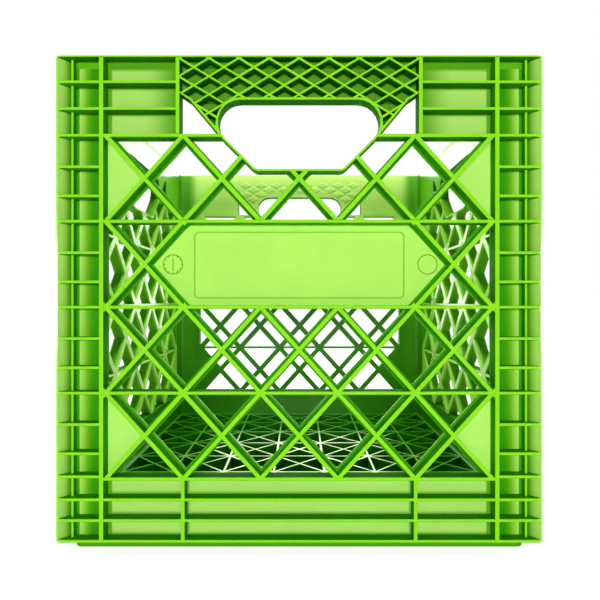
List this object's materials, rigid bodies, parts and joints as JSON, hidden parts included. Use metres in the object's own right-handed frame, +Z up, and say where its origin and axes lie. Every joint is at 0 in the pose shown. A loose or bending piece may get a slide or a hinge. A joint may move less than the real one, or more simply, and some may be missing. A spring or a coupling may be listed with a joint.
{
  "type": "storage crate",
  "caption": "Square stackable storage crate in lime-green plastic: latticed walls with hand holes, ribbed corners and bands, a flat label plate, a grid floor and a stacking foot.",
  "frame": {"origin": "middle of the foot's underside, on the surface that the crate stands on", "axes": "+Z up through the mouth; -Y out of the front wall with the label plate; +X to the right of it"},
  "size_m": [0.305, 0.305, 0.3086],
  "materials": {
    "lime_polyethylene": "moulded high-density polyethylene, lime green, a soft sheen on the rib edges"
  },
  "bodies": {
    "root": {"back_cheek_left": "lime_polyethylene", "back_cheek_right": "lime_polyethylene", "back_handle_sill": "lime_polyethylene", "back_label_plate": "lime_polyethylene", "back_lattice": "lime_polyethylene", "back_lower_band": "lime_polyethylene", "back_panel_left": "lime_polyethylene", "back_panel_right": "lime_polyethylene", "back_shoulder_left": "lime_polyethylene", "back_shoulder_right": "lime_polyethylene", "back_waffle_grip": "lime_polyethylene", "floor_grid": "lime_polyethylene", "front_cheek_left": "lime_polyethylene", "front_cheek_right": "lime_polyethylene", "front_handle_sill": "lime_polyethylene", "front_label_plate": "lime_polyethylene", "front_lattice": "lime_polyethylene", "front_lower_band": "lime_polyethylene", "front_panel_left": "lime_polyethylene", "front_panel_right": "lime_polyethylene", "front_shoulder_left": "lime_polyethylene", "front_shoulder_right": "lime_polyethylene", "front_waffle_grip": "lime_polyethylene", "left_cheek_left": "lime_polyethylene", "left_cheek_right": "lime_polyethylene", "left_handle_sill": "lime_polyethylene", "left_lattice": "lime_polyethylene", "left_lower_band": "lime_polyethylene", "left_panel_left": "lime_polyethylene", "left_panel_right": "lime_polyethylene", "left_shoulder_left": "lime_polyethylene", "left_shoulder_right": "lime_polyethylene", "left_waffle_grip": "lime_polyethylene", "post_back_left": "lime_polyethylene", "post_back_right": "lime_polyethylene", "post_front_left": "lime_polyethylene", "post_front_right": "lime_polyethylene", "right_cheek_left": "lime_polyethylene", "right_cheek_right": "lime_polyethylene", "right_handle_sill": "lime_polyethylene", "right_lattice": "lime_polyethylene", "right_lower_band": "lime_polyethylene", "right_panel_left": "lime_polyethylene", "right_panel_right": "lime_polyethylene", "right_shoulder_left": "lime_polyethylene", "right_shoulder_right": "lime_polyethylene", "right_waffle_grip": "lime_polyethylene", "stacking_foot": "lime_polyethylene", "top_rim": "lime_polyethylene"}
  },
  "joints": []
}
